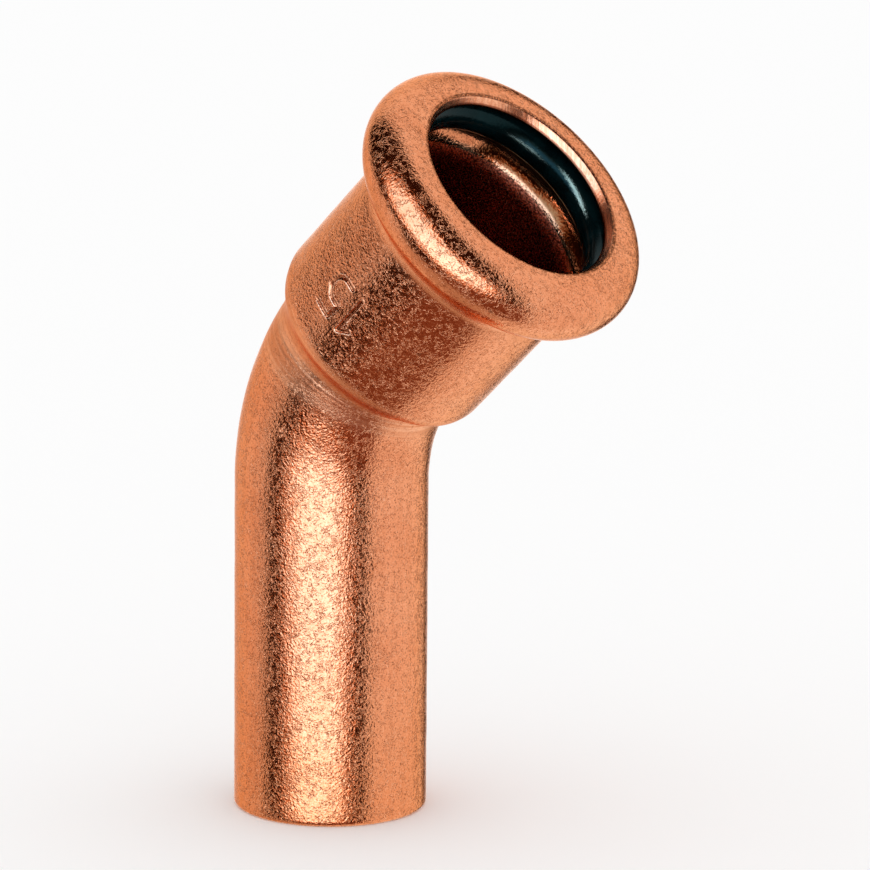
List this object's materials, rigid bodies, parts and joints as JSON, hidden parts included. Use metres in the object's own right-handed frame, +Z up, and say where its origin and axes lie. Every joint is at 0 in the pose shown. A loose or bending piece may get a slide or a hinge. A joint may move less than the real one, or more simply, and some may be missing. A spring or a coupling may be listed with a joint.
{
  "type": "press fit fitting",
  "caption": "Copper street elbow that turns a pipe through a shallow angle: a plain end for a socket, and a beaded press socket with a rubber sealing ring.",
  "frame": {"origin": "on the ground under the middle of the whole elbow; the plain end's axis stands 9.03 mm from it towards -X", "axes": "+Z up along the plain end's axis, from its face to the bend; the elbow bends towards +X; Y is across it"},
  "size_m": [0.033, 0.024, 0.0585],
  "materials": {
    "copper": "drawn copper tube, satin, with a fine pebbled grain and light handling marks",
    "rubber": "smooth black moulded rubber, slightly oiled"
  },
  "bodies": {
    "root": {"fitting_body": "copper", "sealing_ring": "rubber"}
  },
  "joints": []
}
